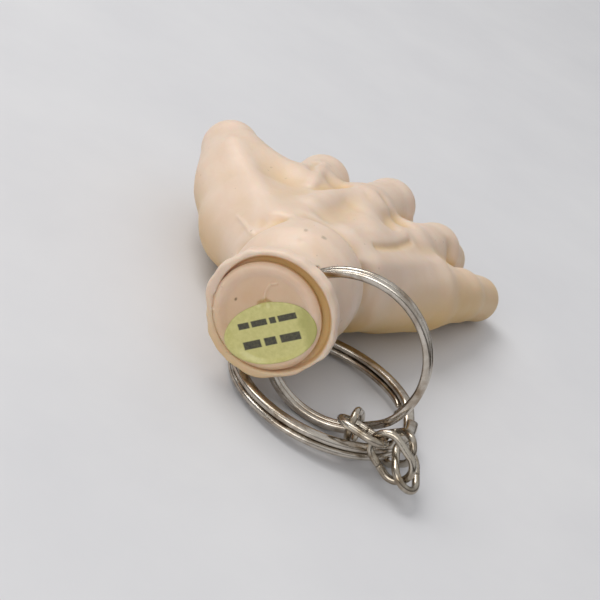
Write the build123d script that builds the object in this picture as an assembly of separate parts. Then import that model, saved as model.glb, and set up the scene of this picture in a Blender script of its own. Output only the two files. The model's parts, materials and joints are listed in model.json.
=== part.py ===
from build123d import *
from math import asin, cos, degrees, radians, sin, sqrt
import os

# A souvenir keychain: a soft vinyl right hand, palm down, with a plugged wrist.
# A split ring runs through two slots in the wrist, and a short chain ties that
# ring to a larger key ring. Millimetres, +Z up. The keychain lies on a table at
# z = 0, with its origin at the middle of its footprint and its fingers along +Y.

# --- driving dimensions -----------------------------------------------------

# key ring, lying on the table with the last link under one side
key_ring_diameter = 30.0        # outside
key_wire_width = 1.8            # radial width of the wire
key_wire_height = 1.2           # height of one turn
key_crossover_at = 60.0         # degrees round the ring
key_hook_at = -28.0             # degrees from +X, where the last link lifts the ring

# wrist ring, standing upright through the wrist
wrist_ring_diameter = 25.0      # outside
wrist_wire_width = 1.3
wrist_wire_height = 1.05
wrist_crossover_at = -25.0
wrist_hook_at = -55.0           # where the first link hangs

# both split rings
turn_gap = 0.08                 # between the two turns
crossover_angle = 24.0          # taken by the step from one turn to the other
wire_edge_radius = 0.3          # rounding of the outer edges of the wire

# chain links
link_inside_length = 6.1
link_inside_width = 3.4         # the key ring's two turns pass through it
link_wire = 1.15                # wire diameter
link_play = 0.47                # between the wire that a link hooks and its own near bend

# wrist, measured along its own axis from the middle of its end face
wrist_turn = 5.0                # degrees to the right of +Y
wrist_dip = 2.0                 # degrees down towards the fingers
rim_radius = 9.9
rim_thickness = 2.4
rim_clearance = 0.4             # above the key ring's upper face, at its middle
neck_radius = 7.9
neck_wall = 1.6
neck_length = 7.0               # end of the straight neck
heel_radius = 9.2
heel_start = 10.5
heel_end = 18.0
palm_end = 27.0
bore_length = 13.0              # straight part of the hollow
slot_clearance = 0.3            # round the wrist ring, on every side
ring_depth = 5.3                # plane of the wrist ring
ring_past_axis = 0.35           # how far the ring's wire reaches past the wrist's axis
table_gap = 0.02                # under the wrist ring, the fingertips and the heel

# wrist plug
seat_radius = 8.7               # counterbore in the rim
seat_depth = 1.5
plug_radius = 7.95
plug_thickness = 1.7
plug_shift = 0.5                # the disc sits off the middle, towards lower left
stem_length = 1.4
stem_clearance = 0.05
dish_border = 0.7
dish_depth = 0.35

# label
label_length = 13.5
label_width = 8.5
label_thickness = 0.12
label_rise = 43.0               # degrees, of its long axis
label_drop = 1.95               # from the dish's middle, square to its long axis

# fingers
fingertip_radius = 4.1
thumb_tip_radius = 5.0
step_in = 0.95                  # a bone starts a little slimmer than the one before

# chain layout: each link hooks the far bend of the one before, and its heading is
# three angles in degrees: its swing about the wire that it hooks, its lean along
# that wire, and its twist about its own length
link_headings = [
    (-121, 9, -19),
    (-85, 13, 12),
    (-28, -12, 4),
    (127, 11, -4),
    (64, -7, -28),
]

# --- worked out from the sizes above ----------------------------------------

key_ring_height = 2 * key_wire_height + turn_gap
key_coil_radius = (key_ring_diameter - key_wire_width) / 2
wrist_ring_height = 2 * wrist_wire_height + turn_gap
wrist_coil_radius = (wrist_ring_diameter - wrist_wire_width) / 2
ring_offset = wrist_coil_radius - ring_past_axis
bore_radius = neck_radius - neck_wall
bend_radius = (link_inside_width + link_wire) / 2
bend_spacing = link_inside_length - link_inside_width
link_slack = link_wire + link_play

# the wrist's own directions
turn = radians(wrist_turn)
dip = radians(wrist_dip)
ahead = Vector(sin(turn) * cos(dip), cos(turn) * cos(dip), -sin(dip))
right = Vector(cos(turn), -sin(turn), 0)
up = right.cross(ahead)

# the wrist ring stands on the table
wrist_ring_reach = (wrist_ring_diameter * cos(dip) + wrist_ring_height * sin(dip)) / 2
ring_centre = Vector(0, 0, wrist_ring_reach + table_gap)


# --- chain layout -----------------------------------------------------------

def turned(vector, axis, angle):
    return vector.rotate(Axis((0, 0, 0), axis), angle)


def lay_chain():
    """Each link's middle, direction and width direction, and the wire it hooks."""
    angle = radians(wrist_hook_at)
    along = right * cos(angle) + up * sin(angle)
    hooked = ring_centre + along * wrist_coil_radius
    wire = up * cos(angle) - right * sin(angle)
    links = []
    for number, (swing, lean, twist) in enumerate(link_headings):
        direction = turned(along, wire, swing)
        across = wire.cross(direction)
        direction = direction * cos(radians(lean)) + wire * sin(radians(lean))
        across = turned(across, direction, twist)
        # the first link is centred on the ring's thicker coil
        back = link_slack if number else bend_radius
        middle = hooked + direction * (bend_radius - back + bend_spacing / 2)
        links.append((middle, direction, across, hooked, wire))
        hooked = middle + direction * (bend_spacing / 2 + bend_radius)
        along = direction
        wire = across
    return links


chain = lay_chain()
key_hook = chain[-1][0] + chain[-1][1] * (bend_spacing / 2)

# The last link's far bend passes under the key ring's wire and lifts that side,
# and the ring rests on the table at the opposite side.
key_lift = key_hook.Z - key_ring_height / 2
key_tilt = degrees(asin(key_lift / (key_ring_diameter / 2 + key_coil_radius)))
key_outwards = turned(Vector(1, 0, 0), Vector(0, 0, 1), key_hook_at)
key_wire = Vector(0, 0, 1).cross(key_outwards)
key_outwards = turned(key_outwards, key_wire, -key_tilt)
key_centre = key_hook - key_outwards * key_coil_radius

# The wrist's rim hangs just above the key ring.
wrist_height = key_centre.Z + key_ring_height / 2 + rim_clearance + rim_radius * cos(dip)
wrist = ring_centre - ahead * ring_depth - right * ring_offset
wrist += up * ((wrist_height - wrist.Z) / up.Z)
wrist_plane = Plane(origin=wrist, x_dir=right, z_dir=-ahead)    # z points out of the wrist


# --- shared shapes ----------------------------------------------------------

def split_ring(diameter, width, height):
    """Two flat turns of wire round Z, joined by a short step and open at both ends."""
    rise = height + turn_gap
    sweep = 360 - crossover_angle

    def section(angle, level):
        spot = radians(angle)
        outwards = Vector(cos(spot), sin(spot), 0)
        middle = outwards * (diameter - width) / 2 + Vector(0, 0, level)
        face = Rectangle(width, height)
        face = fillet(face.vertices().sort_by(Axis.X)[-2:], wire_edge_radius)
        return Plane(middle, x_dir=outwards, z_dir=(sin(spot), -cos(spot), 0)) * face

    lower = revolve(section(0, -rise / 2), Axis.Z, sweep)
    upper = revolve(section(0, rise / 2), Axis.Z, sweep)
    steps = 8
    sections = []
    for step in range(steps + 1):
        share = step / steps
        level = rise * (share * share * (3 - 2 * share) - 0.5)
        sections.append(section(sweep + crossover_angle * share, level))
    crossover = loft(sections, ruled=True)
    return lower + crossover + upper


def link_shape():
    """One link in the XY plane, long along X: two straights and two half rings."""
    round_wire = Circle(link_wire / 2)
    straight = extrude(Plane.YZ * round_wire, bend_spacing / 2, both=True)
    bend = revolve(Plane.YZ * Pos(bend_radius, 0) * round_wire, Axis.Z, -180)
    near = Pos(-bend_spacing / 2, 0, 0) * Rot(0, 0, 180) * bend
    far = Pos(bend_spacing / 2, 0, 0) * bend
    sides = Pos(0, bend_radius, 0) * straight + Pos(0, -bend_radius, 0) * straight
    return sides + far + near


def turned_body(outline):
    """Revolves (radius, depth) points about the wrist's axis; depth runs inwards."""
    profile = [(radius, -depth) for radius, depth in outline]
    face = make_face(Plane.XZ * Polyline(*profile, close=True))
    return revolve(face, Axis.Z, 360)


def bone(start, start_radius, end, end_radius):
    """A tapered capsule between two points."""
    axis = end - start
    length = axis.length
    slope = asin((start_radius - end_radius) / length)
    low = (start_radius * cos(slope), start_radius * sin(slope))
    high = (end_radius * cos(slope), length + end_radius * sin(slope))
    middle = (cos((slope - radians(90)) / 2), sin((slope - radians(90)) / 2))
    crown = (cos((slope + radians(90)) / 2), sin((slope + radians(90)) / 2))
    bottom_point = (start_radius * middle[0], start_radius * middle[1])
    bottom_arc = ThreePointArc((0, -start_radius), bottom_point, low)
    side = Line(low, high)
    top_point = (end_radius * crown[0], length + end_radius * crown[1])
    top_arc = ThreePointArc(high, top_point, (0, length + end_radius))
    spine = Line((0, length + end_radius), (0, -start_radius))
    face = make_face(Plane.XZ * (bottom_arc + side + top_arc + spine))
    solid = revolve(face, Axis.Z, 360)
    return Plane(origin=start, z_dir=axis) * solid


# --- rings and chain --------------------------------------------------------

key_ring = split_ring(key_ring_diameter, key_wire_width, key_wire_height)
key_plane = Plane(origin=key_centre, x_dir=key_outwards, z_dir=key_outwards.cross(key_wire))
key_ring = key_plane * Rot(0, 0, key_crossover_at) * key_ring

wrist_ring_plane = Plane(origin=ring_centre, x_dir=right, z_dir=-ahead)
wrist_ring = split_ring(wrist_ring_diameter, wrist_wire_width, wrist_wire_height)
wrist_ring = wrist_ring_plane * Rot(0, 0, wrist_crossover_at) * wrist_ring

link_solids = []
for middle, direction, across, _, _ in chain:
    plane = Plane(origin=middle, x_dir=direction, z_dir=direction.cross(across))
    link_solids.append(plane * link_shape())


# --- hand -------------------------------------------------------------------

def place(rightwards, forwards, height, radius):
    """A joint of the hand: offsets from the wrist's middle, height above the table."""
    return Vector(wrist.X + rightwards, wrist.Y + forwards, height), radius


tip_height = fingertip_radius + table_gap
knuckles = {
    "index": place(-4.0, 44, 11.9, 6.0),
    "middle": place(4.6, 46, 12.6, 6.0),
    "ring": place(13.0, 44.5, 11.2, 5.8),
    "little": place(20.0, 41.5, 8.8, 5.6),
}
finger_joints = {
    "index": place(-4.0, 57, 10.6, 4.6),
    "middle": place(8.0, 61, 11.2, 4.6),
    "ring": place(18.5, 58, 9.3, 4.5),
    "little": place(25.3, 51.5, 6.9, 4.5),
}
fingertips = {
    "index": place(-3.6, 69, tip_height, fingertip_radius),
    "middle": place(9.9, 74, tip_height, fingertip_radius),
    "ring": place(21.6, 68.5, tip_height, fingertip_radius),
    "little": place(29.6, 60.5, tip_height, fingertip_radius),
}
palm_roots = {
    "index": place(-1.0, 23, 12.4, 7.8),
    "middle": place(2.0, 23, 12.8, 8.0),
    "ring": place(5.0, 23, 12.3, 7.7),
    "little": place(7.5, 24, 11.4, 6.9),
}
heel_of_hand = [
    place(11.0, 35.5, 8.0, 7.4),
    place(18.5, 46.0, 6.3, 6.2),
]
thumb = [
    place(-2.5, 20, 12.2, 7.7),
    place(-10.5, 30, 9.8, 7.8),
    place(-15.8, 37, 10.8, 6.4),
    place(-20.0, 46.5, 12.4, thumb_tip_radius),
]
thumb_web = [
    place(-15.5, 41, 12.0, 6.0),
    place(-8.0, 40, 12.0, 6.0),
]


def chain_of_bones(joints):
    """Bones end to end; each starts slimmer, so that no two spheres coincide."""
    solids = []
    for number in range(len(joints) - 1):
        start, start_radius = joints[number]
        end, end_radius = joints[number + 1]
        if number:
            start_radius = start_radius * step_in
        solids.append(bone(start, start_radius, end, end_radius))
    return solids


flesh = []
for finger in knuckles:
    joints = [palm_roots[finger], knuckles[finger], finger_joints[finger], fingertips[finger]]
    flesh += chain_of_bones(joints)
flesh += chain_of_bones(heel_of_hand)
flesh += chain_of_bones(thumb)
flesh += chain_of_bones(thumb_web)

wrist_outline = [
    (0, 0),
    (rim_radius, 0),
    (rim_radius, rim_thickness),
    (neck_radius, rim_thickness + 0.6),
    (neck_radius, neck_length),
    (heel_radius, heel_start),
    (heel_radius, heel_end),
    (0, palm_end),
]
hollow_outline = [
    (0, -1),
    (seat_radius, -1),
    (seat_radius, seat_depth),
    (bore_radius, seat_depth),
    (bore_radius, bore_length),
    (0, bore_length + bore_radius),
]
hand_body = wrist_plane * turned_body(wrist_outline)
for solid in flesh:
    hand_body = hand_body + solid
hand_body = hand_body - wrist_plane * turned_body(hollow_outline)

slot_outer = wrist_ring_diameter / 2 + slot_clearance
slot_inner = wrist_ring_diameter / 2 - wrist_wire_width - slot_clearance
slot_height = wrist_ring_height + 2 * slot_clearance
slot_path = Cylinder(slot_outer, slot_height) - Cylinder(slot_inner, slot_height)
hand_body = hand_body - wrist_ring_plane * slot_path

# --- plug and label ---------------------------------------------------------

shift = plug_shift / sqrt(2)
standing = (Align.CENTER, Align.CENTER, Align.MIN)
hanging = (Align.CENTER, Align.CENTER, Align.MAX)
disc = Cylinder(plug_radius, plug_thickness, align=standing)
disc = Pos(-shift, -shift, -seat_depth) * disc
stem = Cylinder(bore_radius - stem_clearance, stem_length, align=hanging)
stem = Pos(0, 0, -seat_depth) * stem
dish_level = plug_thickness - seat_depth - dish_depth
dish = Cylinder(plug_radius - dish_border, plug_thickness, align=standing)
dish = Pos(-shift, -shift, dish_level) * dish
wrist_plug = wrist_plane * (disc + stem - dish)

rise = radians(label_rise)
label_x = label_drop * sin(rise) - shift
label_y = -label_drop * cos(rise) - shift
oval = Rot(0, 0, label_rise) * extrude(Ellipse(label_length / 2, label_width / 2), label_thickness)
label = wrist_plane * Pos(label_x, label_y, dish_level) * oval

# --- files ------------------------------------------------------------------

shapes = {
    "hand_body": hand_body,
    "wrist_plug": wrist_plug,
    "origin_label": label,
    "wrist_ring": wrist_ring,
    "key_ring": key_ring,
}
for number, solid in enumerate(link_solids, start=1):
    shapes[f"chain_link_{number}"] = solid

# the footprint's middle becomes the origin, on the table
everything = Compound(children=[Compound(shape.solids()) for shape in shapes.values()])
footprint = everything.bounding_box()
to_origin = -Vector(footprint.center().X, footprint.center().Y, footprint.min.Z)
nodes = {name: Pos(to_origin) * shape for name, shape in shapes.items()}

os.makedirs("parts", exist_ok=True)
for name, shape in nodes.items():
    export_step(shape, f"parts/{name}.step")
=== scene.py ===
import json
import math

import bpy
import numpy as np
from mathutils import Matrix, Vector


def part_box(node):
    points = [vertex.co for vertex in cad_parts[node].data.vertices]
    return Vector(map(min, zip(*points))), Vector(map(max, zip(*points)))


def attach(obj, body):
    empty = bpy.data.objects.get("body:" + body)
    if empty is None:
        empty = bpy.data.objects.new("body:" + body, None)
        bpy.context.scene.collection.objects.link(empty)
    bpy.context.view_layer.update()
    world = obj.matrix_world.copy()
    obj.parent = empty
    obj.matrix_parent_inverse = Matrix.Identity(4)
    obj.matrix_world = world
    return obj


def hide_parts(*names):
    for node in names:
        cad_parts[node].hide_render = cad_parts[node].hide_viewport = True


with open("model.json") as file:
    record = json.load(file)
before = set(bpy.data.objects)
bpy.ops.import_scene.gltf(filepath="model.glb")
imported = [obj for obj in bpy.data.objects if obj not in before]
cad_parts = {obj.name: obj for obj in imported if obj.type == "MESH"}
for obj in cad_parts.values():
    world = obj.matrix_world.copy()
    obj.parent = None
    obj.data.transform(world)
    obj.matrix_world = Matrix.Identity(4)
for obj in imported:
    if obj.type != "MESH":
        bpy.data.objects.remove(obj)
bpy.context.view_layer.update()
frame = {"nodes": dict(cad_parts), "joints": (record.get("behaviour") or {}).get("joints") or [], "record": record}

import openvdb
from mathutils import Matrix, Vector

MM = 0.001
record = frame["record"]
joints = {j["name"]: j for j in frame["joints"]}


def unit(v):
    v = np.asarray(v, float)
    return v / np.linalg.norm(v)


def spot_of(joint):
    """A joint's place in millimetres."""
    return np.array(joints[joint]["pos_m"]) * 1000


# ---------------------------------------------------------------- directions
# the wrist points along `ahead`; `right` is level, and `up` closes the set
ring_centre = spot_of("ring_through_wrist")
ahead = -unit(joints["ring_through_wrist"]["axis"])
right = unit(np.cross(ahead, (0, 0, 1)))
up = np.cross(right, ahead)

key_mount = next(m for m in record["mounts"] if m["name"] == "key_ring")
key_centre = np.array(key_mount["pos_m"]) * 1000
key_normal = unit(key_mount["axis"])
key_wire = unit(joints["key_ring_swing"]["axis"])
key_outwards = unit(np.cross(key_wire, key_normal))

# sizes shared with the CAD model, in millimetres
RING_DEPTH = 5.3
RING_OFFSET = 11.5
RIM_RADIUS = 9.9
RIM_THICKNESS = 2.4
NECK_RADIUS = 7.9
SEAT_RADIUS = 8.7
SEAT_DEPTH = 1.5
SEAT_SHIFT = 0.1
BORE_RADIUS = 6.3
BORE_LENGTH = 13.0
PLUG_RADIUS = 7.95
PLUG_SHIFT = 0.5 / math.sqrt(2)
PLUG_TOP = 0.2

# the rim's middle: the plug's stem and disc are centred on the wrist's axis
plug_low, plug_high = (np.array(c) * 1000 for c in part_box("wrist_plug"))
wrist = ring_centre - ahead * RING_DEPTH - right * RING_OFFSET
plug_middle_z = (plug_low[2] + plug_high[2]) / 2
wrist = wrist + up * ((plug_middle_z + PLUG_SHIFT - wrist[2]) / up[2])
# z of the face plane grows out of the wrist
face = np.stack([right, up, -ahead])


def from_face(x, y, z):
    """Row-frame millimetres of a point given in the rim's own plane."""
    return wrist + x * face[0] + y * face[1] + z * face[2]


# ---------------------------------------------------------------- materials
def new_material(name):
    m = bpy.data.materials.new(name)
    m.use_nodes = True
    tree = m.node_tree
    bsdf = tree.nodes["Principled BSDF"]
    return m, tree, bsdf


def coordinates(tree, kind="Object"):
    return tree.nodes.new("ShaderNodeTexCoord").outputs[kind]


def noise(tree, source, scale, detail=3.0, roughness=0.55, distortion=0.0):
    n = tree.nodes.new("ShaderNodeTexNoise")
    n.inputs["Scale"].default_value = scale
    n.inputs["Detail"].default_value = detail
    n.inputs["Roughness"].default_value = roughness
    n.inputs["Distortion"].default_value = distortion
    tree.links.new(source, n.inputs["Vector"])
    return n.outputs["Fac"]


def ramp(tree, source, stops):
    r = tree.nodes.new("ShaderNodeValToRGB")
    elements = r.color_ramp.elements
    while len(elements) < len(stops):
        elements.new(0.5)
    for element, (place, colour) in zip(elements, stops):
        element.position = place
        element.color = (*colour, 1.0) if len(colour) == 3 else colour
    tree.links.new(source, r.inputs["Fac"])
    return r.outputs["Color"]


def grey_ramp(tree, source, low, high, start=0.3, end=0.7):
    return ramp(tree, source, [(start, (low,) * 3), (end, (high,) * 3)])


def blend_colours(tree, factor, a, b, mode="MIX"):
    m = tree.nodes.new("ShaderNodeMix")
    m.data_type = "RGBA"
    m.blend_type = mode
    sockets = [s for s in m.inputs if s.type == "RGBA"]
    for socket, value in ((m.inputs["Factor"], factor), (sockets[0], a), (sockets[1], b)):
        if isinstance(value, (float, tuple)):
            socket.default_value = value
        else:
            tree.links.new(value, socket)
    return next(s for s in m.outputs if s.type == "RGBA")


def sum_of(tree, a, b, operation="ADD"):
    m = tree.nodes.new("ShaderNodeMath")
    m.operation = operation
    for socket, value in zip(m.inputs, (a, b)):
        if isinstance(value, (int, float)):
            socket.default_value = value
        else:
            tree.links.new(value, socket)
    return m.outputs[0]


def bump(tree, bsdf, height, strength, distance):
    b = tree.nodes.new("ShaderNodeBump")
    b.inputs["Strength"].default_value = strength
    b.inputs["Distance"].default_value = distance
    tree.links.new(height, b.inputs["Height"])
    tree.links.new(b.outputs["Normal"], bsdf.inputs["Normal"])


def attribute(tree, name):
    """A number kept at the mesh's points."""
    n = tree.nodes.new("ShaderNodeAttribute")
    n.attribute_name = name
    return n.outputs["Fac"]


def height_share(tree, low, high):
    """0 at the height low and 1 at high, in metres over the table."""
    split = tree.nodes.new("ShaderNodeSeparateXYZ")
    tree.links.new(coordinates(tree), split.inputs[0])
    m = tree.nodes.new("ShaderNodeMapRange")
    m.inputs["From Min"].default_value = low
    m.inputs["From Max"].default_value = high
    tree.links.new(split.outputs["Z"], m.inputs["Value"])
    return m.outputs["Result"]


def vinyl(name, light, warm, shade_and_speck_tone, gloss):
    """Soft moulded vinyl: waxy, with mottling and dark specks, painted shade that makes it darker and warmer low
    down and in creases, and faint flow marks.
    """
    m, tree, bsdf = new_material(name)
    where = coordinates(tree)
    mottle = noise(tree, where, 190, 4.0, 0.6, 0.4)
    broad = noise(tree, where, 55, 2.0, 0.5)
    base = ramp(tree, mottle, [(0.30, warm), (0.70, light)])
    # painted shade: deeper and warmer towards the table, broken up by broad noise
    low = height_share(tree, 0.0, 0.019)
    level = sum_of(tree, low, sum_of(tree, broad, 0.45, "MULTIPLY"))
    share = ramp(tree, level, [(0.22, (0.8, 0.8, 0.8)), (0.85, (0, 0, 0))])
    with_painted_shade = blend_colours(tree, share, base, (*shade_and_speck_tone, 1.0))
    # painted shade in creases and hollows, read from a number kept on the mesh
    with_painted_shade = blend_colours(tree, sum_of(tree, attribute(tree, "painted_shade"), 0.8, "MULTIPLY"), with_painted_shade, (*shade_and_speck_tone, 1.0))
    specks = ramp(tree, noise(tree, where, 900, 2.0, 0.5), [(0.735, (0, 0, 0)), (0.77, (1, 1, 1))])
    specks = sum_of(tree, sum_of(tree, specks, 0.3, "MULTIPLY"), attribute(tree, "dirt"), "MAXIMUM")
    # dark specks of dirt, coloured a quarter as bright as the painted shade tone
    spotted = blend_colours(tree, specks, with_painted_shade, (*[c * 0.25 for c in shade_and_speck_tone], 1.0))
    tree.links.new(spotted, bsdf.inputs["Base Color"])
    rough = grey_ramp(tree, noise(tree, where, 320, 3.0, 0.6), gloss, gloss + 0.14)
    tree.links.new(rough, bsdf.inputs["Roughness"])
    bsdf.inputs["Subsurface Weight"].default_value = 0.32
    bsdf.inputs["Subsurface Radius"].default_value = (1.0, 0.48, 0.26)
    bsdf.inputs["Subsurface Scale"].default_value = 0.0022
    bsdf.inputs["Specular IOR Level"].default_value = 0.42
    grain = sum_of(tree, noise(tree, where, 2600, 3.0, 0.6), noise(tree, where, 420, 2.0, 0.5))
    bump(tree, bsdf, grain, 0.16, 0.00012)
    return m


def nickel(name, colour, dull):
    """Plated wire: bright, with drawing marks along it and a brownish film in patches."""
    m, tree, bsdf = new_material(name)
    where = coordinates(tree)
    along = tree.nodes.new("ShaderNodeMapping")
    along.inputs["Scale"].default_value = (1.4, 46.0, 1.0)
    tree.links.new(coordinates(tree, "UV"), along.inputs["Vector"])
    marks = noise(tree, along.outputs["Vector"], 5.0, 4.0, 0.65)
    patches = noise(tree, where, 260, 4.0, 0.6, 0.6)
    film = ramp(tree, patches, [(0.42, colour), (0.68, dull)])
    shade = ramp(tree, marks, [(0.30, (0.62, 0.59, 0.55)), (0.60, (1, 1, 1))])
    tree.links.new(blend_colours(tree, 0.65, film, shade, "MULTIPLY"), bsdf.inputs["Base Color"])
    bsdf.inputs["Metallic"].default_value = 1.0
    wear = sum_of(tree, marks, patches)
    tree.links.new(grey_ramp(tree, wear, 0.06, 0.20, 0.75, 1.3), bsdf.inputs["Roughness"])
    pits = sum_of(tree, noise(tree, where, 2400, 3.0, 0.6), marks)
    bump(tree, bsdf, pits, 0.14, 0.00005)
    return m


hand_vinyl = vinyl("hand_vinyl", (0.81, 0.65, 0.53), (0.76, 0.59, 0.46), (0.66, 0.42, 0.12), 0.36)
plug_vinyl = vinyl("plug_vinyl", (0.82, 0.61, 0.46), (0.76, 0.53, 0.37), (0.62, 0.38, 0.15), 0.33)
ring_metal = nickel("ring_nickel", (0.69, 0.64, 0.57), (0.33, 0.26, 0.19))
link_metal = nickel("link_nickel", (0.62, 0.57, 0.49), (0.29, 0.23, 0.16))


# ---------------------------------------------------------------- mesh helpers
def make_piece(name, points, faces, material, body, slot, *nodes, uvs=None):
    """points in millimetres; the piece rides on a body and stands for CAD nodes."""
    mesh = bpy.data.meshes.new(name)
    mesh.from_pydata((np.asarray(points) * MM).tolist(), [], faces)
    if uvs is not None:
        layer = mesh.uv_layers.new(name="UVMap")
        corners = np.zeros(len(mesh.loops), dtype=np.int64)
        mesh.loops.foreach_get("vertex_index", corners)
        layer.data.foreach_set("uv", np.asarray(uvs, float)[corners].ravel())
    mesh.update()
    mesh.shade_smooth()
    piece = bpy.data.objects.new(name, mesh)
    bpy.context.scene.collection.objects.link(piece)
    mesh.materials.append(material)
    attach(piece, body)
    if nodes:
        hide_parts(*nodes)
    return piece


def tube(centres, outs, normals, sections):
    """Skins rows of section points and caps the ends: a section gives (outwards, along normal) pairs."""
    rows = len(centres)
    sides = len(sections[0])
    points = []
    for centre, out, normal, section in zip(centres, outs, normals, sections):
        for a, b in section:
            points.append(centre + a * out + b * normal)
    faces = []
    for i in range(rows - 1):
        for k in range(sides):
            j = (k + 1) % sides
            faces.append((i * sides + k, i * sides + j, (i + 1) * sides + j, (i + 1) * sides + k))
    faces.append(tuple(range(sides - 1, -1, -1)))
    faces.append(tuple((rows - 1) * sides + k for k in range(sides)))
    return np.array(points), faces


# ---------------------------------------------------------------- split rings
TURN_GAP = 0.08
CROSSOVER = 24.0       # degrees taken by the step between the turns
SQUARENESS = 2.35      # of the wire's section: 2 is an ellipse


def ring_piece(name, node, centre, x_axis, normal, diameter, width, height, start):
    """Two turns of pressed wire with soft edges; the free ends thin out to a blunt tip."""
    y_axis = np.cross(normal, x_axis)
    rise = height + TURN_GAP
    flat = 360 - CROSSOVER
    total = 720 - CROSSOVER
    steps = 620
    sides = 28
    coil = (diameter - width) / 2
    power = 2 / SQUARENESS
    centres, outs, normals, sections, uvs = [], [], [], [], []
    for i in range(steps + 1):
        angle = total * i / steps
        share = min(max((angle - flat) / CROSSOVER, 0.0), 1.0)
        level = rise * (share * share * (3 - 2 * share) - 0.5)
        turn = math.radians(angle + start)
        out = math.cos(turn) * x_axis + math.sin(turn) * y_axis
        # each free end thins over its last few degrees, on the side facing the other turn
        to_end = min(angle, total - angle)
        thin = 1 - 0.38 * (1 - min(to_end / 9.0, 1.0)) ** 2
        tip = 1.0 if to_end > 1.2 else 0.72 + 0.28 * math.sqrt(max(to_end / 1.2, 0.0))
        outer_side = -1 if angle < total / 2 else 1
        wobble = 0.012 * math.sin(turn * 3 + diameter) + 0.008 * math.sin(turn * 7)
        centres.append(centre + coil * out + (level + outer_side * height * (1 - thin) / 2) * normal)
        outs.append(out)
        normals.append(normal)
        section = []
        for k in range(sides):
            a = 2 * math.pi * k / sides
            c, s = math.cos(a), math.sin(a)
            x = math.copysign(abs(c) ** power, c) * (width / 2) * tip * (0.99 + wobble * 0.4)
            y = math.copysign(abs(s) ** power, s) * (height / 2) * thin * tip * 0.99
            section.append((x, y))
            uvs.append((angle / 90.0, k / sides))
        sections.append(section)
    points, faces = tube(centres, outs, normals, sections)
    return make_piece(name, points, faces, ring_metal, node, "nickel", node, uvs=uvs)


ring_piece("wrist_split_ring", "wrist_ring", ring_centre, right, -ahead, 25.0, 1.3, 1.05, -25.0)
ring_piece("key_split_ring", "key_ring", key_centre, key_outwards, key_normal, 30.0, 1.8, 1.2, 60.0)

# ---------------------------------------------------------------- chain links
LINK_WIRE = 1.15
LINK_SPAN = 2.7        # between the middles of the two bends
BEND = 2.275           # of the wire's middle
SLACK = 1.62


def link_piece(number, hooked, further):
    """An oval of round wire, cut through on one side where its ends meet."""
    node = f"chain_link_{number}"
    along = unit(further - hooked)
    back = BEND if number == 1 else SLACK
    middle = hooked + along * (BEND - back + LINK_SPAN / 2)
    mesh = frame["nodes"][node].data
    cloud = np.zeros(len(mesh.vertices) * 3)
    mesh.vertices.foreach_get("co", cloud)
    cloud = cloud.reshape(-1, 3) * 1000 - middle
    flat = cloud - np.outer(cloud @ along, along)
    across = np.linalg.svd(flat, full_matrices=False)[2][0]
    normal = np.cross(along, across)
    half = LINK_SPAN / 2
    perimeter = 2 * LINK_SPAN + 2 * math.pi * BEND
    gap = 0.07
    steps = 150
    sides = 22
    centres, outs, normals, sections, uvs = [], [], [], [], []
    for i in range(steps + 1):
        run = gap / 2 + (perimeter - gap) * i / steps
        # the run starts in the middle of one straight side
        if run < half:
            spot, out = np.array([run, BEND]), np.array([0.0, 1.0])
        elif run < half + math.pi * BEND:
            a = math.pi / 2 - (run - half) / BEND
            out = np.array([math.cos(a), math.sin(a)])
            spot = np.array([half, 0]) + BEND * out
        elif run < 3 * half + math.pi * BEND:
            spot, out = np.array([half - (run - half - math.pi * BEND), -BEND]), np.array([0.0, -1.0])
        elif run < 3 * half + 2 * math.pi * BEND:
            a = -math.pi / 2 - (run - 3 * half - math.pi * BEND) / BEND
            out = np.array([math.cos(a), math.sin(a)])
            spot = np.array([-half, 0]) + BEND * out
        else:
            spot, out = np.array([run - perimeter, BEND]), np.array([0.0, 1.0])
        centres.append(middle + spot[0] * along + spot[1] * across)
        outs.append(out[0] * along + out[1] * across)
        normals.append(normal)
        to_end = min(i, steps - i)
        radius = LINK_WIRE / 2 * (0.9 if to_end == 0 else 0.995)
        section = []
        for k in range(sides):
            a = 2 * math.pi * k / sides
            section.append((radius * math.cos(a), radius * math.sin(a)))
            uvs.append((run / 6.0, k / sides))
        sections.append(section)
    points, faces = tube(centres, outs, normals, sections)
    return make_piece(f"oval_link_{number}", points, faces, link_metal, node, "chain_nickel", node, uvs=uvs)


hooks = [spot_of(f"link_{n}_swing") for n in range(1, 6)]
last_hook = spot_of("key_ring_swing")
for n in range(1, 6):
    link_piece(n, hooks[n - 1], hooks[n] if n < 5 else last_hook)


# ---------------------------------------------------------------- hand
def place(rightwards, forwards, height, radius):
    """A joint of the hand: offsets from the wrist's middle, height over the table."""
    return np.array([wrist[0] + rightwards, wrist[1] + forwards, height]), radius


TIP = 4.12
fingers = {
    "index": [
        place(-1.0, 23, 12.4, 7.8), place(-4.0, 44, 11.9, 6.0),
        place(-4.0, 57, 10.6, 4.6), place(-3.6, 69, TIP, 4.1),
    ],
    "middle": [
        place(2.0, 23, 12.8, 8.0), place(4.6, 46, 12.6, 6.0),
        place(8.0, 61, 11.2, 4.6), place(9.9, 74, TIP, 4.1),
    ],
    "ring": [
        place(5.0, 23, 12.3, 7.7), place(13.0, 44.5, 11.2, 5.8),
        place(18.5, 58, 9.3, 4.5), place(21.6, 68.5, TIP, 4.1),
    ],
    "little": [
        place(7.5, 24, 11.4, 6.9), place(20.0, 41.5, 8.8, 5.6),
        place(25.3, 51.5, 6.9, 4.5), place(29.6, 60.5, TIP, 4.1),
    ],
}
heel_of_hand = [place(11.0, 35.5, 8.0, 7.4), place(18.5, 46.0, 6.3, 6.2)]
thumb = [
    place(-2.5, 20, 12.2, 7.7), place(-9.9, 30, 9.8, 7.3),
    place(-14.9, 37, 10.8, 6.1), place(-19.6, 46.5, 12.4, 4.9),
]
thumb_web = [place(-15.5, 41, 12.0, 6.0), place(-8.0, 40, 12.0, 6.0)]

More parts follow.
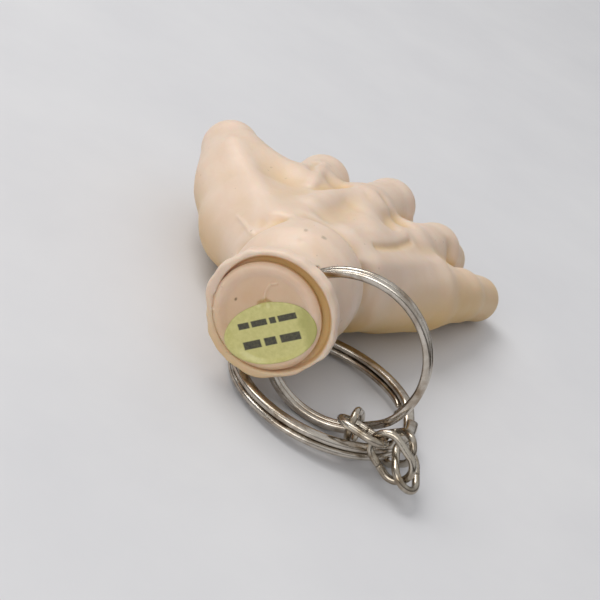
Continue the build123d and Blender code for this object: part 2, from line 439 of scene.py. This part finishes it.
VOXEL = 0.25
hand_low, hand_high = (np.array(c) * 1000 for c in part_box("hand_body"))
origin = hand_low - 1.5
counts = np.ceil((hand_high + 1.5 - origin) / VOXEL).astype(int) + 1
FAR = 6.0              # distance given to cells away from the hand
HEEL_RADIUS = 9.6      # of the swelling behind the neck
SLOT_HALF_WIDTH = 1.39
SLOT_MIDDLE_RADIUS = 11.85
SLOT_HALF_DEPTH = 0.95


def smooth_union(a, b, k):
    """Union of two distances, blended over a width of k millimetres."""
    h = np.maximum(k - np.abs(a - b), 0) / k
    return np.minimum(a, b) - h * h * k * 0.25


class Field:
    """A signed distance on the hand's grid, worked on a box at a time."""

    def __init__(self):
        self.d = np.full(counts, FAR, np.float32)

    def window(self, low, high):
        a = np.clip(np.floor((low - origin) / VOXEL).astype(int), 0, counts)
        b = np.clip(np.ceil((high - origin) / VOXEL).astype(int) + 1, 0, counts)
        part = tuple(slice(i, j) for i, j in zip(a, b))
        axes = [(origin[i] + VOXEL * np.arange(a[i], b[i])).astype(np.float32) for i in range(3)]
        return part, np.meshgrid(*axes, indexing="ij", sparse=True)

    def join(self, part, other, k):
        self.d[part] = smooth_union(self.d[part], other, k)

    def bone(self, start, end, k, slim=1.0):
        (a, ra), (b, rb) = start, end
        ra = ra * slim
        reach = max(ra, rb) + 3.5
        part, (x, y, z) = self.window(np.minimum(a, b) - reach, np.maximum(a, b) + reach)
        axis = b - a
        length = np.linalg.norm(axis)
        axis = axis / length
        px, py, pz = x - a[0], y - a[1], z - a[2]
        t = px * axis[0] + py * axis[1] + pz * axis[2]
        s = np.sqrt(np.maximum(px * px + py * py + pz * pz - t * t, 0))
        lean = (ra - rb) / length
        straight = math.sqrt(1 - lean * lean)
        level = straight * t - lean * s
        beyond = np.where(level > straight * length, np.hypot(s, t - length) - rb, straight * s + lean * t - ra)
        d = np.where(level < 0, np.hypot(s, t) - ra, beyond)
        self.join(part, d, k)

    def mark(self, points, width, height):
        """Raises (or, with a negative height, presses in) the skin along a line."""
        points = [np.asarray(p, float) for p in points]
        stack = np.stack(points)
        part, (x, y, z) = self.window(stack.min(0) - 3 * width, stack.max(0) + 3 * width)
        nearest = None
        if len(points) == 1:
            points = points * 2
        for a, b in zip(points[:-1], points[1:]):
            ab = b - a
            size = float(ab @ ab)
            px, py, pz = x - a[0], y - a[1], z - a[2]
            if size > 0:
                t = np.clip((px * ab[0] + py * ab[1] + pz * ab[2]) / size, 0, 1)
            else:
                t = 0.0
            q = (px - t * ab[0]) ** 2 + (py - t * ab[1]) ** 2 + (pz - t * ab[2]) ** 2
            nearest = q if nearest is None else np.minimum(nearest, q)
        self.d[part] -= height * np.exp(-nearest / (width * width))


field = Field()
for joints_of in fingers.values():
    for i in range(3):
        field.bone(joints_of[i], joints_of[i + 1], 2.6 if i == 0 else 1.5, 1.0 if i == 0 else 0.97)
field.bone(*heel_of_hand, 3.0)
for i in range(3):
    field.bone(thumb[i], thumb[i + 1], 3.0)
field.bone(*thumb_web, 3.0)

# the wrist: a lathe shape about its own axis, blended into the palm
part, (gx, gy, gz) = field.window(hand_low - 1.5, np.array([hand_high[0], wrist[1] + 34, hand_high[2] + 1.5]))
rx, ry, rz = gx - wrist[0], gy - wrist[1], gz - wrist[2]
depth = rx * ahead[0] + ry * ahead[1] + rz * ahead[2]
side = rx * right[0] + ry * right[1] + rz * right[2]
rise = rx * up[0] + ry * up[1] + rz * up[2]
radius = np.sqrt(side * side + rise * rise)
turn = np.arctan2(rise, side)


def rounded_disc(radial, along, r, low, high, edge):
    """Distance to a cylinder about the wrist's axis with rounded edges."""
    middle, half = (low + high) / 2, (high - low) / 2
    a = radial - (r - edge)
    b = np.abs(along - middle) - (half - edge)
    return np.minimum(np.maximum(a, b), 0) + np.hypot(np.maximum(a, 0), np.maximum(b, 0)) - edge


# the rim was trimmed by hand: (degrees round it, how many wide, millimetres missing)
TRIMS = (
    (-33, 26, 0.62), (-62, 12, 0.30), (-150, 16, 0.45), (150, 9, 0.34),
    (122, 10, 0.22), (86, 14, 0.18), (22, 8, 0.25),
)
trimmed = 0.06 * np.sin(11 * turn) + 0.04 * np.sin(23 * turn + 1.0) + 0.08
for spot, spread, missing in TRIMS:
    away = np.abs((np.degrees(turn) - spot + 180) % 360 - 180)
    trimmed = trimmed + missing * np.exp(-((away / spread) ** 4))
rim_face = 0.12 * np.sin(3 * turn + 0.4) + 0.07 * np.sin(7 * turn + 2.0)
rim = rounded_disc(radius + trimmed, depth - np.abs(rim_face), RIM_RADIUS, 0.0, RIM_THICKNESS, 0.5)
neck = rounded_disc(radius, depth, NECK_RADIUS, 0.2, 12.0, 0.4)
heel = rounded_disc(radius, depth, HEEL_RADIUS, 8.6, 18.6, 3.4)
stalk = smooth_union(neck, heel, 1.5)
stalk = smooth_union(stalk, rim, 0.9)
field.join(part, stalk.astype(np.float32), 2.4)


def gap_open(angle):
    """The gap round the plug is open (1) towards the upper right and closed (0) at the lower left."""
    return np.clip((np.cos(angle - math.radians(60)) + 0.45) / 0.9, 0, 1)


# the hollow, the counterbore that the plug sits in, and the slot of the wrist ring
off_seat = np.hypot(side - SEAT_SHIFT, rise - SEAT_SHIFT)
flare = (0.05 + 0.50 * gap_open(turn)) * np.exp(-((np.maximum(depth, 0) / 0.55) ** 2))
seat_radius = SEAT_RADIUS - 0.25 + 0.07 * np.sin(3 * turn + 1.0)
seat = rounded_disc(off_seat - flare, depth, seat_radius, -3.0, SEAT_DEPTH, 0.25)
notch = np.hypot(np.hypot(side + 7.95, (rise + 1.7) * 0.55), depth * 0.6) - 0.42
seat = np.minimum(seat, notch)
bore = rounded_disc(radius, depth, BORE_RADIUS, -3.0, BORE_LENGTH + 3, 3.0)
hollow = np.minimum(seat, bore)
field.d[part] = np.maximum(field.d[part], -hollow)
sx, sy, sz = gx - ring_centre[0], gy - ring_centre[1], gz - ring_centre[2]
off_plane = np.abs(sx * ahead[0] + sy * ahead[1] + sz * ahead[2])
in_plane = np.sqrt(np.maximum(sx * sx + sy * sy + sz * sz - off_plane * off_plane, 0))
slot = np.maximum(off_plane - SLOT_HALF_WIDTH, np.abs(in_plane - SLOT_MIDDLE_RADIUS) - SLOT_HALF_DEPTH)
field.d[part] = np.maximum(field.d[part], -slot)

# details of the moulding: (points, width, height); offsets as in place()
MARKS = {
    "band": ([
        (-3.1, 27.4, 19.9), (-1.6, 32.2, 19.6), (0.1, 39.0, 18.7),
        (2.5, 43.5, 18.6), (4.9, 43.6, 18.9), (7.6, 43.6, 18.0),
    ], 2.0, 0.8),
    "band_hollow": ([(0.3, 24.1, 21.0), (1.7, 28.1, 20.5), (3.2, 34.5, 19.7)], 2.6, -1.25),
    "plateau": ([(5.1, 34.0, 19.6), (7.5, 29.5, 19.6)], 3.0, 0.6),
    "middle_side": ([(6.7, 45.0, 18.5), (8.5, 44.1, 17.6), (9.4, 37.7, 18.2)], 1.6, -0.65),
    "middle_under": ([(11.2, 44.7, 17.2)], 1.8, -1.1),
    "ring_fold": ([(8.8, 25.2, 19.4), (10.6, 28.9, 18.6), (12.0, 32.6, 17.9), (13.5, 38.2, 17.2)], 0.7, -0.4),
    "ring_bump": ([(9.5, 32.2, 18.7), (11.8, 38.2, 17.8)], 2.2, 0.4),
    "ring_under": ([(21.4, 54.6, 12.3)], 2.0, -0.9),
    "index_fold": ([(-4.9, 51.2, 16.3), (-4.6, 41.4, 18.4), (-4.5, 35.8, 18.6)], 0.9, 0.5),
    "index_dip": ([(-6.2, 51.0, 15.9), (-5.9, 41.4, 18.3)], 0.9, -0.35),
    "index_left": ([(-7.6, 39.7, 18.2)], 2.4, 0.45),
    "index_right": ([(-2.2, 43.1, 18.0)], 2.0, -0.6),
    "index_groove": ([(-3.5, 35.4, 18.8), (-1.6, 38.7, 18.6), (0.2, 43.4, 17.9)], 1.4, -0.7),
    "thumb_ridge": ([
        (-19.3, 38.3, 17.4), (-15.3, 33.4, 17.4), (-11.9, 27.2, 17.8),
        (-9.1, 22.7, 18.0), (-7.2, 19.6, 18.6),
    ], 2.3, 0.65),
    "thumb_flat": ([(-15.3, 39.5, 18.0), (-11.0, 36.5, 17.6)], 3.4, -0.5),
    "thumb_end": ([(-7.8, 17.2, 17.6), (-6.4, 16.8, 19.1)], 1.3, -0.7),
    "flash": ([(-12.2, 21.2, 14.6), (-10.4, 19.1, 15.1), (-8.2, 15.3, 16.0)], 0.32, 0.32),
    "collar_left": ([
        (-8.6, 14.4, 13.0), (-8.2, 14.2, 15.3), (-7.6, 14.6, 16.5),
        (-6.8, 15.2, 18.0), (-5.4, 16.8, 19.4),
    ], 1.2, -0.9),
    "collar_right": ([
        (9.4, 18.4, 17.6), (11.1, 18.1, 15.1), (11.9, 18.3, 12.4),
        (12.1, 19.1, 9.4), (11.0, 19.4, 7.0),
    ], 1.6, -1.5),
    "neck_fold": ([(8.1, 10.8, 18.4), (9.2, 10.9, 16.4), (9.8, 10.6, 13.9), (9.6, 10.4, 11.0)], 0.7, -0.35),
    "neck_crease": ([(-1.3, 10.0, 21.2), (0.3, 10.2, 21.5), (1.6, 10.1, 21.5), (3.2, 9.8, 21.2)], 0.3, -0.3),
    "little_ridge": ([
        (9.0, 18.0, 19.3), (10.6, 22.8, 18.4),
        (14.9, 32.4, 16.7), (19.6, 42.7, 14.8),
    ], 1.8, 0.5),
    "little_side": ([(16.1, 25.9, 13.3), (20.8, 33.3, 12.0), (25.2, 41.5, 11.7)], 3.0, -0.6),
}


def on_hand(spot):
    return np.array([wrist[0] + spot[0], wrist[1] + spot[1], spot[2]])


for spots, width, height in MARKS.values():
    field.mark([on_hand(spot) for spot in spots], width, height)


def blurred(values, reach):
    """Running mean over 2 * reach + 1 cells along each axis in turn."""
    for axis in range(3):
        padding = [(0, 0)] * 3
        padding[axis] = (reach + 1, reach)
        total = np.cumsum(np.pad(values, padding, mode="edge"), axis=axis, dtype=np.float64)
        size = total.shape[axis]
        high = np.take(total, range(2 * reach + 1, size), axis=axis)
        low = np.take(total, range(0, size - 2 * reach - 1), axis=axis)
        values = ((high - low) / (2 * reach + 1)).astype(np.float32)
    return values


solid = np.clip(0.5 - field.d / VOXEL, 0, 1)
crowding = blurred(blurred(solid, round(1.4 / VOXEL)), round(1.0 / VOXEL))

grid = openvdb.FloatGrid()
grid.copyFromArray(field.d)
points, quads = grid.convertToQuads(isovalue=0.0)
points = origin + points * VOXEL
skin = make_piece("hand_skin", points, quads[:, ::-1].tolist(), hand_vinyl, "hand", "vinyl", "hand_body")

# painted shade: where the skin is hemmed in, its colour is painted deeper and warmer
place_in_grid = np.clip((points - origin) / VOXEL, 0, counts - 1.001)
cells = place_in_grid.astype(int)
share = place_in_grid - cells
crowd = np.zeros(len(points))
for corner in np.ndindex(2, 2, 2):
    weight = np.prod(np.where(corner, share, 1 - share), axis=1)
    crowd += weight * crowding[tuple((cells + corner).T)]
painted_shade = np.clip((crowd - 0.47) / 0.22, 0, 1)
# painted shade too on the thick flesh low down behind the collar, most of all on the little finger's side, less
# towards the fingertips
lowness = np.clip((15.5 - points[:, 2]) / 8.5, 0, 1)
behind = np.clip((points[:, 1] - wrist[1] - 4) / 6, 0, 1)
sideways = np.clip((points[:, 0] + 4) / 12, 0.25, 1)
shade_fades_to_fingertips = 1 - 0.75 * np.clip((points[:, 1] - wrist[1] - 44) / 12, 0, 1)
painted_shade = np.maximum(painted_shade, lowness * behind * sideways * shade_fades_to_fingertips)
off = points - wrist
from_axis = np.hypot(off @ face[0], off @ face[1])
around = np.arctan2(off @ face[1], off @ face[0])
inwards = off @ ahead
# painted shade in the gap round the plug, strongest where the gap is open
in_groove = np.clip((inwards - 0.05) / 0.5, 0, 1) * np.clip((9.15 - from_axis) / 0.35, 0, 1) * (inwards < 3)
in_groove *= np.maximum(gap_open(around), 0.1)
painted_shade = np.maximum(painted_shade, in_groove)
painted_shade_layer = skin.data.attributes.new("painted_shade", "FLOAT", "POINT")
painted_shade_layer.data.foreach_set("value", painted_shade.astype(np.float32))
dirt = np.zeros(len(points), np.float32)
# two faint specks on the collar: (place, millimetres across)
SPECKS = (((-1.3, 12.0, 21.8), 0.06), ((1.3, 12.0, 22.0), 0.08))
for spot, size in SPECKS:
    gap = np.linalg.norm(points - on_hand(spot), axis=1)
    dirt = np.maximum(dirt, 0.4 * np.clip(1.6 - (gap - gap.min()) / size, 0, 1))
dirt_layer = skin.data.attributes.new("dirt", "FLOAT", "POINT")
dirt_layer.data.foreach_set("value", dirt.astype(np.float32))

# ---------------------------------------------------------------- plug
RINGS = 110
SPOKES = 220
DISH_LEVEL = -0.30     # the dished face, from the rim's plane


# the gate's ridge, the torn hollow below it and a burr, from the plug's middle
GATE = ((-1.4, 1.9), (-1.75, 3.6), (-1.67, 4.7), (-0.95, 5.2))
SCAR = ((-1.55, 1.15), (-1.15, 1.9), (-0.35, 1.9))
BURR = ((-7.2, -3.2), (-6.2, -3.0))


def line_gap(x, y, line):
    """How far (x, y) is from a line of straight runs."""
    nearest = 99.0
    for (ax, ay), (bx, by) in zip(line[:-1], line[1:]):
        dx, dy = bx - ax, by - ay
        t = min(max(((x - ax) * dx + (y - ay) * dy) / (dx * dx + dy * dy), 0.0), 1.0)
        nearest = min(nearest, math.hypot(x - ax - t * dx, y - ay - t * dy))
    return nearest


def plug_height(x, y):
    """The plug's outer face, over the rim's plane, at (x, y) from the plug's middle."""
    r = math.hypot(x, y)
    a = math.atan2(y, x)
    edge = PLUG_RADIUS - r
    bead_at = 0.62 + 0.10 * math.sin(2 * a + 0.6)
    inner = max(edge - bead_at, 0)
    bead = 0.49 * math.exp(-((inner / (1.0 + 0.18 * math.sin(a - 0.8))) ** 3.2))
    dish = DISH_LEVEL - 0.16 * (1 - (r / PLUG_RADIUS) ** 2)
    rounding = -0.55 * math.exp(-((max(edge, 0) / 0.34) ** 1.5))
    ridge = 0.26 * math.exp(-((line_gap(x, y, GATE) / 0.17) ** 2))
    scar = -0.42 * math.exp(-((line_gap(x, y, SCAR) / 0.42) ** 2))
    burr = 0.30 * math.exp(-((line_gap(x, y, BURR) / 0.20) ** 2))
    wave = 0.03 * math.sin(x * 0.9 + 1) * math.sin(y * 1.1)
    return min(dish + bead + rounding + ridge + scar + burr + wave, PLUG_TOP)


plug_points = [from_face(-PLUG_SHIFT, -PLUG_SHIFT, plug_height(0, 0))]
plug_faces = []
profile = [PLUG_RADIUS * (1 - (1 - i / RINGS) ** 1.5) for i in range(1, RINGS + 1)]
for r in profile:
    for k in range(SPOKES):
        a = 2 * math.pi * k / SPOKES
        x, y = r * math.cos(a), r * math.sin(a)
        plug_points.append(from_face(x - PLUG_SHIFT, y - PLUG_SHIFT, plug_height(x, y)))
# down the side, under the disc, and down the stem
UNDERSIDE = (
    (PLUG_RADIUS, -1.1, PLUG_SHIFT), (PLUG_RADIUS - 0.15, -1.45, PLUG_SHIFT),
    (6.25, -1.5, 0), (6.2, -2.7, 0), (5.9, -2.9, 0), (0.01, -2.9, 0),
)
for r, z, shift in UNDERSIDE:
    for k in range(SPOKES):
        a = 2 * math.pi * k / SPOKES
        plug_points.append(from_face(r * math.cos(a) - shift, r * math.sin(a) - shift, z))
for k in range(SPOKES):
    plug_faces.append((0, 1 + k, 1 + (k + 1) % SPOKES))
for i in range(RINGS + len(UNDERSIDE) - 1):
    for k in range(SPOKES):
        j = (k + 1) % SPOKES
        a, b = 1 + i * SPOKES, 1 + (i + 1) * SPOKES
        plug_faces.append((a + k, b + k, b + j, a + j))
plug = make_piece("plug_disc", plug_points, plug_faces, plug_vinyl, "hand", "plug_vinyl", "wrist_plug")
plug_dirt = []
plug_painted_shade = []
for point in plug_points:
    offset = point - wrist
    x, y, z = offset @ face[0] + PLUG_SHIFT, offset @ face[1] + PLUG_SHIFT, offset @ face[2]
    speck = max(1.5 - math.hypot(x + 4.9, (y + 0.15) * 0.7) / 0.16, 0)
    # painted shadow in and round the torn hollow below the gate
    torn = max(1 - line_gap(x, y, SCAR) / 0.62, 0) * 0.9
    plug_dirt.append(min(speck, 1.0) * 0.9)
    # painted shade, deeper down the plug's side and under it
    below = min(max((-0.15 - z) / 0.8, 0), 1)
    plug_painted_shade.append(min(torn * 1.3 + below, 1.0))
for name, values in (("dirt", plug_dirt), ("painted_shade", plug_painted_shade)):
    layer = plug.data.attributes.new(name, "FLOAT", "POINT")
    layer.data.foreach_set("value", values)

# ---------------------------------------------------------------- label
LABEL_LENGTH = 14.0
LABEL_WIDTH = 8.8
LABEL_RISE = math.radians(45.5)
LABEL_DROP = 2.45


def label_material():
    """Glossy paper with two rows of plain printed bars, and a greener worn end."""
    m, tree, bsdf = new_material("label_paper")
    where = coordinates(tree)
    fibres = noise(tree, where, 1500, 4.0, 0.6)
    paper = ramp(tree, fibres, [(0.3, (0.60, 0.56, 0.20)), (0.7, (0.70, 0.65, 0.26))])
    split = tree.nodes.new("ShaderNodeSeparateXYZ")
    tree.links.new(coordinates(tree, "UV"), split.inputs[0])
    u, v = split.outputs["X"], split.outputs["Y"]
    # a greener, darker blotch at the right end
    blotch = sum_of(tree, u, sum_of(tree, noise(tree, where, 420, 3.0, 0.6), 0.22, "MULTIPLY"))
    worn = ramp(tree, blotch, [(0.90, (0, 0, 0)), (1.04, (1, 1, 1))])
    paper = blend_colours(tree, sum_of(tree, worn, 0.7, "MULTIPLY"), paper, (0.40, 0.38, 0.10, 1.0))

    def inside(value, middle, half, soft=0.006):
        off = sum_of(tree, value, -middle)
        away = tree.nodes.new("ShaderNodeMath")
        away.operation = "ABSOLUTE"
        tree.links.new(off, away.inputs[0])
        r = tree.nodes.new("ShaderNodeMapRange")
        r.inputs["From Min"].default_value = half + soft
        r.inputs["From Max"].default_value = half - soft
        tree.links.new(away.outputs[0], r.inputs["Value"])
        return r.outputs["Result"]

    ink = None
    rows = (
        (0.70, 0.052, ((0.235, 0.060), (0.405, 0.085), (0.555, 0.035), (0.715, 0.100))),
        (0.37, 0.066, ((0.265, 0.095), (0.465, 0.065), (0.685, 0.110))),
    )
    for level, half_height, bars in rows:
        row = inside(v, level, half_height)
        for middle, half in bars:
            bar = sum_of(tree, inside(u, middle, half), row, "MULTIPLY")
            ink = bar if ink is None else sum_of(tree, ink, bar, "MAXIMUM")
    thin = grey_ramp(tree, noise(tree, where, 2600, 3.0, 0.6), 0.90, 1.0)
    ink = sum_of(tree, ink, thin, "MULTIPLY")
    tree.links.new(blend_colours(tree, ink, paper, (0.035, 0.032, 0.022, 1.0)), bsdf.inputs["Base Color"])
    tree.links.new(grey_ramp(tree, fibres, 0.28, 0.42), bsdf.inputs["Roughness"])
    bsdf.inputs["Coat Weight"].default_value = 0.25
    bump(tree, bsdf, noise(tree, where, 1200, 3.0, 0.5), 0.10, 0.00008)
    return m


label_points, label_uvs, label_faces = [], [], []
label_x = LABEL_DROP * math.sin(LABEL_RISE)
label_y = -LABEL_DROP * math.cos(LABEL_RISE)
LABEL_RINGS = 26
LABEL_SPOKES = 120


def label_spot(u, v, lift):
    """(u, v) from the label's middle, along and across it, laid on the plug's face."""
    x = label_x + u * math.cos(LABEL_RISE) - v * math.sin(LABEL_RISE)
    y = label_y + u * math.sin(LABEL_RISE) + v * math.cos(LABEL_RISE)
    reach = math.hypot(x, y)
    inwards = min(1.0, (PLUG_RADIUS - 0.6) / max(reach, 1e-6))
    level = plug_height(x * inwards, y * inwards)
    return from_face(x - PLUG_SHIFT, y - PLUG_SHIFT, level + lift)


# the upper face, then the lower
for lift in (0.07, 0.012):
    label_points.append(label_spot(0, 0, lift))
    label_uvs.append((0.5, 0.5))
    for i in range(1, LABEL_RINGS + 1):
        for k in range(LABEL_SPOKES):
            a = 2 * math.pi * k / LABEL_SPOKES
            share = i / LABEL_RINGS
            u = LABEL_LENGTH / 2 * share * math.cos(a)
            v = LABEL_WIDTH / 2 * share * math.sin(a)
            label_points.append(label_spot(u, v, lift))
            label_uvs.append((0.5 + u / LABEL_LENGTH, 0.5 + v / LABEL_WIDTH))
per_layer = 1 + LABEL_RINGS * LABEL_SPOKES
for layer in (0, 1):
    first = layer * per_layer
    for k in range(LABEL_SPOKES):
        j = (k + 1) % LABEL_SPOKES
        quads_here = [(first, first + 1 + k, first + 1 + j)]
        for i in range(LABEL_RINGS - 1):
            a, b = first + 1 + i * LABEL_SPOKES, first + 1 + (i + 1) * LABEL_SPOKES
            quads_here.append((a + k, b + k, b + j, a + j))
        label_faces += quads_here if layer == 0 else [tuple(reversed(q)) for q in quads_here]
for k in range(LABEL_SPOKES):
    j = (k + 1) % LABEL_SPOKES
    a = 1 + (LABEL_RINGS - 1) * LABEL_SPOKES
    label_faces.append((a + k, per_layer + a + k, per_layer + a + j, a + j))
make_piece(
    "oval_sticker", label_points, label_faces, label_material(), "hand", "label", "origin_label", uvs=label_uvs
)


# ---------------------------------------------------------------- stage
def floor():
    mesh = bpy.data.meshes.new("table_top")
    size = 3.0
    corners = [(-size, -size, 0), (size, -size, 0), (size, size, 0), (-size, size, 0)]
    mesh.from_pydata(corners, [], [(0, 1, 2, 3)])
    top = bpy.data.objects.new("table_top", mesh)
    bpy.context.scene.collection.objects.link(top)
    m, tree, bsdf = new_material("pale_table")
    tone = noise(tree, coordinates(tree), 30, 4.0, 0.6)
    grey = ramp(tree, tone, [(0.3, (0.66, 0.66, 0.68)), (0.7, (0.70, 0.70, 0.715))])
    tree.links.new(grey, bsdf.inputs["Base Color"])
    bsdf.inputs["Roughness"].default_value = 0.62
    bsdf.inputs["Specular IOR Level"].default_value = 0.25
    mesh.materials.append(m)


floor()


def area_light(name, spot, aim, size, power, colour):
    data = bpy.data.lights.new(name, "AREA")
    data.shape = "DISK"
    data.size = size
    data.energy = power
    data.color = colour
    light = bpy.data.objects.new(name, data)
    light.location = spot
    light.rotation_mode = "QUATERNION"
    light.rotation_quaternion = (Vector(aim) - Vector(spot)).to_track_quat("-Z", "Y")
    bpy.context.scene.collection.objects.link(light)


area_light("window", (-0.42, 0.12, 0.60), (0, 0, 0), 0.45, 2.7, (1.0, 0.985, 0.965))
area_light("fill", (-0.20, -0.62, 0.34), (0, 0, 0.01), 0.45, 1.2, (1.0, 0.99, 0.975))

world = bpy.data.worlds.new("studio")
world.use_nodes = True
background = world.node_tree.nodes["Background"]
split = world.node_tree.nodes.new("ShaderNodeSeparateXYZ")
world.node_tree.links.new(coordinates(world.node_tree, "Generated"), split.inputs[0])
# the room: dark low down, bright from a third of the way up
room = [
    (0.0, (0.07, 0.06, 0.05)), (0.20, (0.11, 0.10, 0.09)),
    (0.36, (0.78, 0.79, 0.81)), (1.0, (1.0, 1.0, 1.0)),
]
world.node_tree.links.new(ramp(world.node_tree, split.outputs["Z"], room), background.inputs["Color"])
background.inputs["Strength"].default_value = 0.62
bpy.context.scene.world = world
bpy.context.scene.view_settings.view_transform = "Standard"

# ---------------------------------------------------------------- camera
ELEVATION = math.radians(27.5)
ROLL = math.radians(29.2)
DISTANCE = 0.250
AIM = Vector((-1.67, -0.85, 0.0)) * MM
back = Vector((0, -math.cos(ELEVATION), math.sin(ELEVATION)))
level = Vector((1, 0, 0))
rising = back.cross(level)
camera_right = level * math.cos(ROLL) + rising * math.sin(ROLL)
camera_up = rising * math.cos(ROLL) - level * math.sin(ROLL)
camera_data = bpy.data.cameras.new("photo_angle")
camera_data.sensor_width = 36.0
camera_data.lens = 91.8
camera_data.clip_start = 0.01
camera_data.clip_end = 20.0
camera = bpy.data.objects.new("photo_angle", camera_data)
pose = Matrix((camera_right, camera_up, back)).transposed().to_4x4()
pose.translation = AIM + back * DISTANCE
camera.matrix_world = pose
bpy.context.scene.collection.objects.link(camera)
bpy.context.scene.camera = camera
